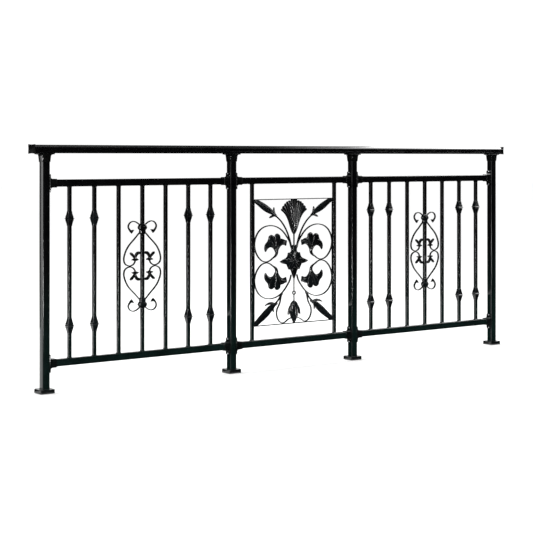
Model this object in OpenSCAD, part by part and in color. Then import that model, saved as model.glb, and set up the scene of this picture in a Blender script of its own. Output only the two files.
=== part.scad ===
// Iron balcony railing: four square posts, two rails, a crowned handrail, plain and knuckled bars,
// two side bays with a heart-shaped scroll and a middle bay with a framed flower panel.
// X runs along the railing, -Y is the front, Z is up. All sizes are in millimetres.

/* [Overall] */
// floor to the top of the handrail
railing_height = 1100; // [900:10:1320]
// post centre to post centre in each side bay
side_bay = 1010; // [840:1:1220]
// post centre to post centre in the middle bay
middle_bay = 762; // [630:1:920]
// handrail end past the centre of the end post, cap included
handrail_overhang = 66; // [40:1:150]

/* [Posts and feet] */
// side of the square post
post_size = 35; // [25:1:50]
// wall of the post tube
post_wall = 2; // [1.5:0.5:4]
// outer corner radius of the post tube
post_corner = 2; // [0.5:0.5:4]
// side of the square foot
foot_size = 70; // [66:1:120]
// height of the foot
foot_height = 18; // [10:1:30]
// corner radius of the foot
foot_corner = 6; // [2:1:15]
// depth of the pocket that takes the post
foot_pocket = 8; // [3:1:14]
// spacing of the floor bolts, both ways
bolt_spacing = 52; // [50:1:90]
// radius of the floor bolt holes
bolt_hole_radius = 4.5; // [3:0.5:7]

/* [Rails] */
// front-to-back size of both rails
rail_depth = 28; // [20:1:40]
// height of both rails
rail_height = 32; // [20:1:50]
// wall of the rail tube
rail_wall = 2; // [1.5:0.5:3]
// outer corner radius of the rail tube
rail_corner = 2; // [0.5:0.5:4]
// floor to the underside of the lower rail
floor_gap = 113; // [60:1:150]
// open gap between the upper rail and the handrail
hand_gap = 117; // [80:1:200]

/* [Handrail] */
// front-to-back width of the handrail
handrail_width = 58; // [50:1:80]
// overall height of the handrail
handrail_height = 38; // [30:1:50]
// front-to-back width of the narrower base under the crown
handrail_base_width = 51; // [40:1:70]
// height of that base
handrail_base_height = 18; // [10:1:24]
// height of the straight side between the base and the crown
handrail_side = 9; // [5:1:14]
// wall of the handrail tube
handrail_wall = 2.5; // [2:0.5:4]
// thickness of the square end plate
cap_thickness = 6; // [3:1:15]
// how far the end plate stands proud of the handrail all round
cap_proud = 2; // [0.5:0.5:5]

/* [Brackets] */
// length of the flange on each bracket
flange_length = 80; // [70:1:100]
// thickness of the flange
flange_thickness = 5; // [4:1:10]
// length of the sleeve round a rail end
socket_length = 30; // [20:1:50]
// wall of the sleeve round a rail end
socket_wall = 3.2; // [2:0.2:5]
// length of the sleeve down the post under the handrail
head_sleeve = 34; // [20:1:50]
// wall of the sleeve round the post
head_wall = 3.5; // [2:0.5:6]
// radius of the hollow curve between flange and sleeve
flare_radius = 10; // [4:1:12]
// gap on each side between a tube and the sleeve round it
slip_gap = 0.2; // [0.1:0.05:0.5]
// radius of a screw head
screw_radius = 3.5; // [3:0.5:6]
// height of a screw head
screw_height = 3; // [2:0.5:5]
// screw centre in from the end of the flange
screw_inset = 4.5; // [4:0.5:14]

/* [Bars] */
// side of the square bars
bar_size = 16; // [12:1:20]
// wall of the bar tube
bar_wall = 1.5; // [1:0.5:3]
// outer corner radius of the bar tube
bar_corner = 1; // [0.5:0.5:2]
// centre to centre of the side bay bars
bar_pitch = 127; // [105:1:150]
// centre to centre of the two uprights beside the flower panel
stile_spacing = 518; // [430:1:620]
// height of a knuckle
knuckle_height = 67; // [50:1:90]
// half width of the sharp ridge round the knuckle
knuckle_ridge = 15.5; // [13:0.5:20]
// half width of the knuckle body beside the ridge
knuckle_body = 12.5; // [11:0.5:16]
// half height of the ridge band
knuckle_band = 3; // [2:0.5:6]
// height of the knuckles above and below the middle of the bars
knuckle_offset = 240; // [180:5:280]

/* [Heart scroll] */
// half width of the heart scroll
heart_half_width = 102; // [80:1:110]
// collar centre above and below the middle of the scroll
heart_half_height = 178; // [140:1:200]
// scroll centre above the middle of the bars
heart_rise = 11; // [-20:1:20]
// front-to-back depth of the scroll bar
scroll_depth = 10; // [8:1:16]
// in-plane thickness of the scroll bar
scroll_thickness = 5; // [4:0.5:8]
// front-to-back depth of the collars on the centre bar
collar_depth = 25; // [22:1:36]

/* [Flower panel] */
// thickness of the flat bar frame
frame_bar = 4; // [3:0.5:8]
// front-to-back depth of the frame
frame_depth = 14; // [10:1:20]
// frame top under the upper rail
panel_top_gap = 76; // [40:1:120]
// frame bottom above the lower rail
panel_bottom_gap = 67; // [40:1:120]
// front-to-back depth of the cast flowers
casting_depth = 12; // [8:1:24]
// front-to-back depth of the cast buds
bud_depth = 18; // [14:1:30]
// outer radius of the small ring on the lower rod
ring_radius = 11; // [8:1:14]

/* [Hidden] */
$fn = 32;
eps = 0.01;
post_x = [0, side_bay, side_bay + middle_bay, 2 * side_bay + middle_bay];
handrail_bottom = railing_height - handrail_height;
post_top = handrail_bottom - flange_thickness;
post_bottom = foot_height - foot_pocket;
lower_top = floor_gap + rail_height;
upper_bottom = handrail_bottom - hand_gap - rail_height;
bar_length = upper_bottom - lower_top;
bar_middle = (upper_bottom + lower_top) / 2;
rail_z = [floor_gap + rail_height / 2, upper_bottom + rail_height / 2];
heart_z = bar_middle + heart_rise;
panel_x = side_bay + middle_bay / 2;
panel_half = (stile_spacing - bar_size) / 2;
panel_top = upper_bottom - panel_top_gap;
panel_bottom = lower_top + panel_bottom_gap;
panel_z = (panel_top + panel_bottom) / 2;
inner_half = panel_half - frame_bar;
inner_rise = (panel_top - panel_bottom) / 2 - frame_bar;
panel_kx = inner_half / 247;
panel_kz = inner_rise / 308.5;
heart_kx = heart_half_width / 102;
heart_kz = heart_half_height / 178;
t = scroll_thickness;

// ---------- plane curves ----------
function mix(a, b, c, d, u) = 0.5 * (2 * b + (c - a) * u + (2 * a - 5 * b + 4 * c - d) * u * u
  + (3 * b - a - 3 * c + d) * u * u * u);
function before(P, i) = i > 0 ? P[i - 1] : 2 * P[0] - P[1];
function after(P, i) = i < len(P) ? P[i] : 2 * P[len(P) - 1] - P[len(P) - 2];
function smooth(P, n) = concat(
  [for (i = [0 : len(P) - 2], k = [0 : n - 1]) mix(before(P, i), P[i], P[i + 1], after(P, i + 2), k / n)],
  [P[len(P) - 1]]);
function fit(P, kx, kz) = [for (p = P) [p[0] * kx, p[1] * kz, p[2]]];
function side(C, i, s) = let (
  a = C[max(i - 1, 0)], b = C[min(i + 1, len(C) - 1)],
  dx = b[0] - a[0], dz = b[1] - a[1], m = sqrt(dx * dx + dz * dz))
  [C[i][0] - s * dz / m * C[i][2] / 2, C[i][1] + s * dx / m * C[i][2] / 2];

function whole(P) = concat(P, [for (i = [len(P) - 2 : -1 : 1]) [-P[i][0], P[i][1]]]);

// a bar along a smooth line through P, each point being [x, z, thickness]
module ribbon(P, n = 5) {
  C = smooth(P, n);
  polygon(concat([for (i = [0 : len(C) - 1]) side(C, i, 1)],
    [for (i = [len(C) - 1 : -1 : 0]) side(C, i, -1)]));
}
module both_ways() {
  children();
  mirror([1, 0]) children();
}
module four_ways() {
  both_ways() children();
  mirror([0, 1]) both_ways() children();
}
module upright(x, z, depth) {
  translate([x, 0, z]) rotate([90, 0, 0]) translate([0, 0, -depth / 2]) linear_extrude(depth) children();
}
module rounded(w, d, r) {
  square([w - 2 * r, d], center = true);
  square([w, d - 2 * r], center = true);
  for (sx = [-1, 1], sy = [-1, 1]) translate([sx * (w / 2 - r), sy * (d / 2 - r)]) circle(r);
}
module tube_section(w, d, wall, r) {
  difference() {
    rounded(w, d, r);
    square([w - 2 * wall, d - 2 * wall], center = true);
  }
}

// ---------- posts, feet and head brackets ----------
module post(x) {
  translate([x, 0, post_bottom]) linear_extrude(post_top - post_bottom)
    tube_section(post_size, post_size, post_wall, post_corner);
}
module foot(x) {
  translate([x, 0, 0]) difference() {
    linear_extrude(foot_height) rounded(foot_size, foot_size, foot_corner);
    translate([0, 0, post_bottom]) linear_extrude(foot_pocket + 1)
      square(post_size + 2 * slip_gap, center = true);
    for (sx = [-1, 1], sy = [-1, 1])
      translate([sx * bolt_spacing / 2, sy * bolt_spacing / 2, -1])
        cylinder(r = bolt_hole_radius, h = foot_height + 2);
  }
}
// two hollow curves between a flange lying on the line z = 0 and a sleeve of the given half width,
// made smaller where they would reach the screws
module flares(half) {
  r = min(flare_radius, flange_length / 2 - screw_inset - screw_radius - half - 0.2);
  for (s = [-1, 1]) difference() {
    translate([s > 0 ? half - eps : -half - r, -r]) square([r + eps, r + eps]);
    translate([s * (half + r), -r]) circle(r);
  }
}
module head_bracket(x) {
  outer = post_size + 2 * slip_gap + 2 * head_wall;
  difference() {
    union() {
      translate([x, 0, post_top]) linear_extrude(flange_thickness) rounded(flange_length, outer, 3);
      upright(x, post_top, outer) {
        translate([-outer / 2, -head_sleeve]) square([outer, head_sleeve + eps]);
        flares(outer / 2);
      }
    }
    translate([x, 0, post_top - head_sleeve - 1]) linear_extrude(head_sleeve + 1)
      square(post_size + 2 * slip_gap, center = true);
  }
}

// ---------- handrail ----------
module handrail_profile() {
  half = handrail_width / 2;
  shoulder = handrail_base_height + handrail_side;
  rise = handrail_height - shoulder;
  radius = (half * half + rise * rise) / (2 * rise);
  translate([-handrail_base_width / 2, 0]) square([handrail_base_width, handrail_base_height + 1]);
  translate([-half, handrail_base_height]) square([2 * half, handrail_side]);
  intersection() {
    translate([0, handrail_height - radius]) circle(radius, $fn = 64);
    translate([-half, shoulder - 1]) square([2 * half, rise + 2]);
  }
}
module handrail_hollow() {
  half = handrail_width / 2 - handrail_wall;
  base_half = handrail_base_width / 2 - handrail_wall;
  rise = handrail_height - handrail_base_height - handrail_side;
  radius = (handrail_width * handrail_width / 4 + rise * rise) / (2 * rise);
  floor_z = handrail_base_height + handrail_wall;
  translate([-base_half, handrail_wall]) square([2 * base_half, floor_z - handrail_wall + 1]);
  intersection() {
    translate([0, handrail_height - radius]) circle(radius - handrail_wall, $fn = 64);
    translate([-half, floor_z]) square([2 * half, handrail_height]);
  }
}
module along_x(x, z, length) {
  translate([x, 0, z]) rotate([90, 0, 90]) linear_extrude(length) children();
}
module handrail_tube() {
  start = cap_thickness - handrail_overhang;
  along_x(start, handrail_bottom, post_x[3] - 2 * start) difference() {
    handrail_profile();
    handrail_hollow();
  }
}
module handrail_cap(x) {
  along_x(x, handrail_bottom + handrail_height / 2, cap_thickness)
    rounded(handrail_width + 2 * cap_proud, handrail_height + 2 * cap_proud, 1.5);
}

// ---------- rails and their sockets ----------
module rail(bay, level) {
  start = post_x[bay] + post_size / 2 + flange_thickness;
  finish = post_x[bay + 1] - post_size / 2 - flange_thickness;
  along_x(start, rail_z[level], finish - start)
    tube_section(rail_depth, rail_height, rail_wall, rail_corner);
}
module socket(x, level, way) {
  wide = rail_depth + 2 * slip_gap + 2 * socket_wall;
  tall = rail_height + 2 * slip_gap + 2 * socket_wall;
  face = post_size / 2 + flange_thickness;
  translate([x, 0, 0]) mirror([way < 0 ? 1 : 0, 0, 0]) {
    along_x(post_size / 2, rail_z[level], flange_thickness) rounded(wide, flange_length, 3);
    difference() {
      union() {
        along_x(face - eps, rail_z[level], socket_length + eps) rounded(wide, tall, 2);
        upright(face, rail_z[level], wide) rotate(90) flares(tall / 2);
      }
      along_x(face, rail_z[level], socket_length + 1)
        square([rail_depth + 2 * slip_gap, rail_height + 2 * slip_gap], center = true);
    }
  }
}
module bay_sockets(bay) {
  for (level = [0, 1]) {
    socket(post_x[bay], level, 1);
    socket(post_x[bay + 1], level, -1);
  }
}
module fixing_screws_all() {
  reach = flange_length / 2 - screw_inset;
  face = post_size / 2 + flange_thickness;
  for (bay = [0, 1, 2], level = [0, 1], s = [-1, 1]) {
    translate([post_x[bay] + face, 0, rail_z[level] + s * reach]) rotate([0, 90, 0])
      cylinder(r = screw_radius, h = screw_height);
    translate([post_x[bay + 1] - face, 0, rail_z[level] + s * reach]) rotate([0, -90, 0])
      cylinder(r = screw_radius, h = screw_height);
  }
  for (x = post_x, s = [-1, 1])
    translate([x + s * reach, 0, post_top - screw_height]) cylinder(r = screw_radius, h = screw_height);
}

// ---------- bars and knuckles ----------
// the bars close up where the bay is too short for their pitch
pitch = min(bar_pitch,
  (side_bay / 2 - post_size / 2 - flange_thickness - socket_length - bar_size / 2 - 0.5) / 3);
function bay_centre(bay) = (post_x[bay] + post_x[bay + 1]) / 2;
module bar(x) {
  translate([x, 0, lower_top]) linear_extrude(bar_length)
    tube_section(bar_size, bar_size, bar_wall, bar_corner);
}
module knuckle_profile() {
  h = knuckle_height / 2;
  polygon([[-bar_size / 2 - 0.6, -h], [bar_size / 2 + 0.6, -h], [knuckle_body, -knuckle_band],
    [knuckle_ridge, 0], [knuckle_body, knuckle_band], [bar_size / 2 + 0.6, h],
    [-bar_size / 2 - 0.6, h], [-knuckle_body, knuckle_band], [-knuckle_ridge, 0],
    [-knuckle_body, -knuckle_band]]);
}
module knuckle(x, z) {
  translate([x, 0, z]) difference() {
    intersection() {
      upright(0, 0, 60) knuckle_profile();
      along_x(-30, 0, 60) knuckle_profile();
    }
    cube([bar_size + 0.2, bar_size + 0.2, knuckle_height + 2], center = true);
  }
}
module knuckles(bay) {
  for (i = [-3, -2, 2, 3], s = [-1, 1])
    knuckle(bay_centre(bay) + i * pitch, bar_middle + s * knuckle_offset);
}

// ---------- heart scroll ----------
heart_bar = [[10, 159, t], [25, 145, t], [41, 128, t], [60, 110, t], [77, 91, t], [89, 71, t],
  [97, 50, t], [99.5, 33, t], [95, 16, t], [83, 6, t], [66, 2.3, t], [50, 8, t], [41, 19, t],
  [38, 34, t + 1]];
heart_curl = [[10, 188, t], [21, 196, t], [34, 204, t], [50, 207.5, t], [66, 202, t],
  [75, 189, t], [74, 177, t + 1], [66, 166, 8], [60, 159, 9], [57, 153, 3]];
heart_curl_spur = [[63, 164, 6], [55, 167, 6], [46, 170, 2.5]];
heart_leaf_in = [[38, 30, 5], [37, 44, 9], [30, 57, 12], [20, 61.5, 11], [11, 60, 6], [4, 60, 6]];
heart_leaf_out = [[38, 30, 5], [45, 43, 8], [54, 53, 10], [61, 59, 10], [66, 63, 4]];
heart_spike = [[21, 29, 2.5], [30, 30.5, 7], [38, 31, 12], [47, 30.5, 7], [57, 29, 2.5]];
collar_half = [[0, 196], [10, 196], [15, 194], [19, 189], [22.5, 182], [23.5, 178], [22, 173],
  [17.5, 168], [15.5, 163], [16, 157], [14, 150], [11, 147], [0, 147]];
module collar_shape() {
  polygon(whole([for (p = collar_half) [p[0], p[1] * heart_kz]]));
}
module heart_quarter() {
  for (P = [heart_bar, heart_curl, heart_curl_spur, heart_leaf_in, heart_leaf_out, heart_spike])
    ribbon(fit(P, heart_kx, heart_kz), 3);
}
module heart_scroll(bay) {
  upright(bay_centre(bay), heart_z, scroll_depth) difference() {
    four_ways() heart_quarter();
    collar_shape();
    mirror([0, 1]) collar_shape();
    square([bar_size + 0.2, 600], center = true);
  }
}
module scroll_collars(bay) {
  difference() {
    upright(bay_centre(bay), heart_z, collar_depth) {
      collar_shape();
      mirror([0, 1]) collar_shape();
    }
    translate([bay_centre(bay), 0, heart_z]) cube([bar_size + 0.2, bar_size + 0.2, 600], center = true);
  }
}

// ---------- flower panel ----------
panel_scroll = [[18, 68, t], [25, 92, t], [34, 108, t], [46, 124, t], [61, 142, t], [82, 160, t],
  [112, 175, t], [149, 181, t], [188, 174, t], [218, 154, t], [237, 124, t], [244.2, 90, t],
  [238, 57, t], [222, 29, t], [199, 9, t], [172, 2.3, t + 0.5], [150, 8, t], [132, 20, t + 1]];
bud_stem = [[15, 62, t], [22, 92, t], [32, 121, t], [44, 148, t], [60, 175, t], [80, 200, t],
  [100, 218, t], [122, 234, t]];
centre_stem = [[0, 70, 8], [0, 100, 8], [0, 145, 8]];
lower_rod = [[0, -80, 7], [0, -150, 6], [0, -205, 7]];
lower_tail = [[72, -156, 8], [80, -166, 12], [90, -180, 9], [101, -193, 8], [118, -208, 9]];
lower_loop = [[79, -160, t + 1], [84, -186, t], [90, -208, t], [99, -223, t], [107, -240, t],
  [109, -260, t], [105, -277, t], [97, -291, t], [86, -301, t], [71, -305.8, t], [56, -302, t],
  [44, -294, t], [33, -288, t], [15, -283, t]];
palmette_half = [[0, 133.5], [11, 143], [18, 155], [25, 172], [32, 191], [41, 211], [52, 229],
  [66, 244], [82, 255.5], [74, 263], [71, 273], [61, 278], [59, 287], [50, 290], [46, 297],
  [36, 299], [33, 302], [20, 301], [19, 312], [0, 312]];
rosette_half = [[0, 81], [15, 80], [18, 70], [17, 58], [20, 47], [29, 42], [37, 38], [41, 31],
  [44, 23], [51, 16], [62, 12], [76, 7], [89, -1], [76, -9], [60, -13], [48, -15], [44, -24],
  [39, -33], [30, -38], [23, -43], [18, -53], [12, -70], [6, -83], [0, -91.5]];
lily_outline = [[134, 15], [113, 25], [104, 35], [99, 50], [96, 66], [87, 77], [74, 84], [62, 83],
  [50, 76], [47, 84], [46, 93], [43, 98], [48, 107], [56, 106], [65, 112], [78, 116], [87, 118],
  [90, 127], [97, 136], [106, 139], [116, 136], [124, 130], [132, 128], [141, 131], [150, 131],
  [157, 126], [160, 115], [164, 105], [172, 97], [180, 85], [183, 70], [182, 57], [177, 50],
  [171, 56], [165, 65], [156, 71], [144, 74], [132, 69], [123, 59], [117, 47], [118, 38],
  [124, 30], [136, 21]];
bottom_bud_half = [[0, -197.5], [9, -200], [18, -207], [26, -221], [30, -238], [32, -252],
  [39, -262], [37, -271], [27, -266], [20, -269], [18, -283], [12, -297], [6, -304], [5, -312],
  [0, -312]];
upper_bud = [[114, 229, 8], [127, 239, 13], [145, 250, 22], [167, 263, 29], [190, 277, 28],
  [213, 291, 23], [236, 305, 17], [256, 317, 14]];
upper_bud_leaf_a = [[125, 236, 11], [124, 253, 9], [126, 265, 7], [125, 275, 3]];
upper_bud_leaf_b = [[124, 234, 11], [137, 228, 9], [147, 223, 7], [156, 219, 3]];
lower_bud = [[106, -207, 11], [122, -212, 15], [143, -225, 22], [165, -245, 30], [187, -263, 31],
  [210, -281, 26], [232, -297, 20], [254, -313, 15]];
lower_bud_leaf_a = [[128, -211, 12], [152, -206, 10], [172, -208, 8], [191, -219, 3]];
lower_bud_leaf_b = [[131, -216, 14], [132, -234, 11], [128, -253, 3]];
function place(P) = [for (p = P) [p[0] * panel_kx, p[1] * panel_kz]];
module panel_inside() {
  square([2 * inner_half, 2 * inner_rise], center = true);
}
module lilies_shape() {
  four_ways() polygon(place(lily_outline));
}
module rosette_shape() {
  polygon(whole(place(rosette_half)));
}
module palmette_shape() {
  intersection() {
    panel_inside();
    polygon(whole(place(palmette_half)));
  }
}
module bottom_bud_shape() {
  intersection() {
    panel_inside();
    polygon(whole(place(bottom_bud_half)));
  }
}
module corner_buds_shape() {
  intersection() {
    panel_inside();
    both_ways() for (P = [upper_bud, upper_bud_leaf_a, upper_bud_leaf_b, lower_bud,
      lower_bud_leaf_a, lower_bud_leaf_b]) ribbon(fit(P, panel_kx, panel_kz), 4);
  }
}
module scrolls_shape() {
  difference() {
    union() {
      four_ways() ribbon(fit(panel_scroll, panel_kx, panel_kz), 4);
      both_ways() for (P = [bud_stem, lower_tail, lower_loop]) ribbon(fit(P, panel_kx, panel_kz), 4);
      for (P = [centre_stem, lower_rod]) ribbon(fit(P, panel_kx, panel_kz), 1);
      translate([0, -159.5 * panel_kz]) circle(ring_radius);
    }
    translate([0, -159.5 * panel_kz]) circle(ring_radius - 4.5);
    lilies_shape();
    rosette_shape();
    palmette_shape();
    bottom_bud_shape();
    corner_buds_shape();
  }
}
module in_panel(depth) {
  upright(panel_x, panel_z, depth) children();
}

// ---------- colours and nodes ----------
iron = [0.045, 0.05, 0.05];
cast = [0.07, 0.075, 0.075];
module left_end_post() { color(iron) post(post_x[0]); }
module left_inner_post() { color(iron) post(post_x[1]); }
module right_inner_post() { color(iron) post(post_x[2]); }
module right_end_post() { color(iron) post(post_x[3]); }
module left_end_foot() { color(cast) foot(post_x[0]); }
module left_inner_foot() { color(cast) foot(post_x[1]); }
module right_inner_foot() { color(cast) foot(post_x[2]); }
module right_end_foot() { color(cast) foot(post_x[3]); }
module left_end_head_bracket() { color(cast) head_bracket(post_x[0]); }
module left_inner_head_bracket() { color(cast) head_bracket(post_x[1]); }
module right_inner_head_bracket() { color(cast) head_bracket(post_x[2]); }
module right_end_head_bracket() { color(cast) head_bracket(post_x[3]); }
module handrail() { color(iron) handrail_tube(); }
module left_handrail_cap() { color(cast) handrail_cap(-handrail_overhang); }
module right_handrail_cap() { color(cast) handrail_cap(post_x[3] + handrail_overhang - cap_thickness); }
module left_upper_rail() { color(iron) rail(0, 1); }
module middle_upper_rail() { color(iron) rail(1, 1); }
module right_upper_rail() { color(iron) rail(2, 1); }
module left_lower_rail() { color(iron) rail(0, 0); }
module middle_lower_rail() { color(iron) rail(1, 0); }
module right_lower_rail() { color(iron) rail(2, 0); }
module left_bay_sockets() { color(cast) bay_sockets(0); }
module middle_bay_sockets() { color(cast) bay_sockets(1); }
module right_bay_sockets() { color(cast) bay_sockets(2); }
module fixing_screws() { color(cast) fixing_screws_all(); }
module left_knuckled_bars() { color(iron) for (i = [-3, -2, 2, 3]) bar(bay_centre(0) + i * pitch); }
module left_plain_bars() { color(iron) for (i = [-1, 1]) bar(bay_centre(0) + i * pitch); }
module left_scroll_bar() { color(iron) bar(bay_centre(0)); }
module right_knuckled_bars() { color(iron) for (i = [-3, -2, 2, 3]) bar(bay_centre(2) + i * pitch); }
module right_plain_bars() { color(iron) for (i = [-1, 1]) bar(bay_centre(2) + i * pitch); }
module right_scroll_bar() { color(iron) bar(bay_centre(2)); }
module panel_uprights() { color(iron) for (s = [-1, 1]) bar(panel_x + s * stile_spacing / 2); }
module left_knuckles() { color(cast) knuckles(0); }
module right_knuckles() { color(cast) knuckles(2); }
module left_heart_scroll() { color(iron) heart_scroll(0); }
module right_heart_scroll() { color(iron) heart_scroll(2); }
module left_scroll_collars() { color(cast) scroll_collars(0); }
module right_scroll_collars() { color(cast) scroll_collars(2); }
module panel_frame() {
  color(iron) in_panel(frame_depth) difference() {
    square([2 * panel_half, panel_top - panel_bottom], center = true);
    panel_inside();
  }
}
module panel_scrolls() { color(iron) in_panel(scroll_depth) scrolls_shape(); }
module palmette() { color(cast) in_panel(casting_depth) palmette_shape(); }
module rosette() { color(cast) in_panel(casting_depth) rosette_shape(); }
module lily_flowers() { color(cast) in_panel(casting_depth) lilies_shape(); }
module corner_buds() { color(cast) in_panel(bud_depth) corner_buds_shape(); }
module bottom_bud() { color(cast) in_panel(bud_depth) bottom_bud_shape(); }

left_end_post();
left_inner_post();
right_inner_post();
right_end_post();
left_end_foot();
left_inner_foot();
right_inner_foot();
right_end_foot();
left_end_head_bracket();
left_inner_head_bracket();
right_inner_head_bracket();
right_end_head_bracket();
handrail();
left_handrail_cap();
right_handrail_cap();
left_upper_rail();
middle_upper_rail();
right_upper_rail();
left_lower_rail();
middle_lower_rail();
right_lower_rail();
left_bay_sockets();
middle_bay_sockets();
right_bay_sockets();
fixing_screws();
left_knuckled_bars();
left_plain_bars();
left_scroll_bar();
right_knuckled_bars();
right_plain_bars();
right_scroll_bar();
panel_uprights();
left_knuckles();
right_knuckles();
left_heart_scroll();
right_heart_scroll();
left_scroll_collars();
right_scroll_collars();
panel_frame();
panel_scrolls();
palmette();
rosette();
lily_flowers();
corner_buds();
bottom_bud();
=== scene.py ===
# %% [markdown]
# # An iron balcony railing
# The railing is four square posts on cast feet, two rails, a crowned handrail, square bars with
# forged knuckles, two heart scrolls and a framed panel of cast flowers. The solid model gives every
# place and size. This lesson dresses it: each part gets the rounded edges, ribs and veins of the
# real one, worked out as surfaces with numpy, and a coat of paint made from shader nodes.

# %% Load the solid model
import bpy
import bmesh
import math
import numpy as np
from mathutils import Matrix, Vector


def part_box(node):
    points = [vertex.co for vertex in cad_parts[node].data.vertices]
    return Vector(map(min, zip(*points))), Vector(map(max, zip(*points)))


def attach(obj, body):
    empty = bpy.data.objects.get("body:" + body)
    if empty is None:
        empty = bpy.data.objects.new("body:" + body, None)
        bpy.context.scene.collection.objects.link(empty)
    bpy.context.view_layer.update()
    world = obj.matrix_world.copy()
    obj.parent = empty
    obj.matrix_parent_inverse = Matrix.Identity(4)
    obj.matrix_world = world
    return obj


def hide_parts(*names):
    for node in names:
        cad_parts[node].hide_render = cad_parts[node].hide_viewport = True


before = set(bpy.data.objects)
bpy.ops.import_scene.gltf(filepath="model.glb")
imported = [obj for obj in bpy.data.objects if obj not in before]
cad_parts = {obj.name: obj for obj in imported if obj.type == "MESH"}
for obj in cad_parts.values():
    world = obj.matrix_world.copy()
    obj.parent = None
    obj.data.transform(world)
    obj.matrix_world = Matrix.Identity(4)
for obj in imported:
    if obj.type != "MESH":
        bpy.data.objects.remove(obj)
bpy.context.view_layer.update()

# %% [markdown]
# ## Sizes come from the solid model
# All shapes below are written in millimetres, as a smith would, and become metres only when a mesh
# is made. A node's box gives where its part starts and stops, so nothing is placed by eye.


# %% Reading the solid model
def reach(node):
    """Lowest and highest corner of a node of the solid model, in millimetres."""
    low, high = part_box(node)
    return np.array(low) * 1000, np.array(high) * 1000


POSTS = ["left_end", "left_inner", "right_inner", "right_end"]
BAYS = ["left", "middle", "right"]
post_x = [float(np.mean(np.array(reach(p + "_post"))[:, 0])) for p in POSTS]
post_half = np.ptp(np.array(reach("left_end_post"))[:, 0]) / 2
rail_z = [float(np.mean(np.array(reach("left_" + r))[:, 2])) for r in ("lower_rail", "upper_rail")]
bar_low, bar_high = (reach("left_plain_bars")[k][2] for k in (0, 1))
print("posts at", np.round(post_x), "rails at", np.round(rail_z), "bars", bar_low, bar_high)

# %% [markdown]
# ## Skins
# Every part is one or more closed skins. A skin is a grid of points: its columns run round the
# part and its rows run along it. The last column always joins the first. The ends are closed in
# the way that the shape needs: a fan to a middle point, a zip between front and back, one flat face,
# or joined to each other when the rows come back to where they started.


# %% Skins from grids of points
def skin(grid, ends="fan"):
    """Faces between neighbouring rows and columns of a (rows, columns, 3) grid, closed round the
    columns. ends: "fan", "zip", "flat", "ring", or "pole" where the end rows are already a point."""
    grid = np.asarray(grid, float)
    rows, cols = grid.shape[:2]
    index = np.arange(rows * cols).reshape(rows, cols)
    low, high = (index, np.roll(index, -1, 0)) if ends == "ring" else (index[:-1], index[1:])
    quads = np.stack([low, np.roll(low, -1, 1), np.roll(high, -1, 1), high], -1).reshape(-1, 4)
    points, faces = grid.reshape(-1, 3), [quads]
    first, last = index[0], index[-1]
    if ends == "fan":
        points = np.vstack([points, grid[0].mean(0), grid[-1].mean(0)])
        a, b = np.full(cols, rows * cols), np.full(cols, rows * cols + 1)
        faces += [np.stack([np.roll(first, -1), first, a], -1), np.stack([last, np.roll(last, -1), b], -1)]
    if ends == "zip":
        half = cols // 2
        for row, way in ((first, 1), (last, -1)):
            front, back = row[:half], row[half:][::-1]
            faces.append(np.stack([front[:-1], back[:-1], back[1:], front[1:]], -1)[:, ::way])
    if ends == "flat":
        faces += [first[::-1][None], last[None]]
    return outward(points, faces)


def outward(points, faces):
    """The same skin with its faces looking out: the sum of the signed wedges between each face and
    the origin is the volume inside, which is negative when the faces look in."""
    middle = points.mean(0)
    volume = 0.0
    for f in faces:
        p = points[f] - middle
        volume += sum(float(np.einsum("ij,ij->", p[:, 0], np.cross(p[:, k], p[:, k + 1])))
                      for k in range(1, f.shape[1] - 1))
    return (points, [f[:, ::-1] for f in faces]) if volume < 0 else (points, faces)


def moved(one, offset=(0, 0, 0), turn=(1, 1, 1)):
    """A skin multiplied by a sign for each axis and then moved. One or three minus signs mirror it,
    so its faces are turned back to look out."""
    points, faces = one
    flip = -1 if np.prod(turn) < 0 else 1
    return points * np.array(turn) + np.array(offset), [f[:, ::flip] for f in faces]


def piece(name, skins, coat, slot, *nodes, sharp=40):
    """One mesh object from skins in millimetres: all points and faces in two long arrays, doubles
    merged so that poles and seams close, smooth shading broken where faces meet at over `sharp`."""
    sizes = np.cumsum([0] + [len(p) for p, _ in skins])
    faces = [f + start for (_, some), start in zip(skins, sizes) for f in some]
    counts = np.concatenate([np.full(len(f), f.shape[1]) for f in faces])
    mesh = bpy.data.meshes.new(name)
    mesh.vertices.add(int(sizes[-1]))
    mesh.vertices.foreach_set("co", (np.concatenate([p for p, _ in skins]) * 0.001).ravel())
    mesh.loops.add(int(counts.sum()))
    mesh.loops.foreach_set("vertex_index", np.concatenate([f.ravel() for f in faces]).astype(np.int32))
    mesh.polygons.add(len(counts))
    mesh.polygons.foreach_set("loop_start", np.concatenate([[0], np.cumsum(counts)[:-1]]).astype(np.int32))
    mesh.update(calc_edges=True)
    work = bmesh.new()
    work.from_mesh(mesh)
    bmesh.ops.remove_doubles(work, verts=work.verts, dist=2e-6)
    work.to_mesh(mesh)
    work.free()
    mesh.polygons.foreach_set("use_smooth", np.ones(len(mesh.polygons), bool))
    mesh.set_sharp_from_angle(angle=math.radians(sharp))
    mesh.validate()
    obj = bpy.data.objects.new(name, mesh)
    bpy.context.scene.collection.objects.link(obj)
    mesh.materials.append(coat)
    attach(obj, "root")
    if nodes:
        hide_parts(*nodes)
    print(f"{name}: {len(skins)} skins, {len(mesh.polygons)} faces")


# %% [markdown]
# ## Sections
# Square tube, flat bar and cast sleeves all share one outline: a rectangle with rounded corners.
# The corner is what catches the light along the whole length of a bar, so it is real geometry.


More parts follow.
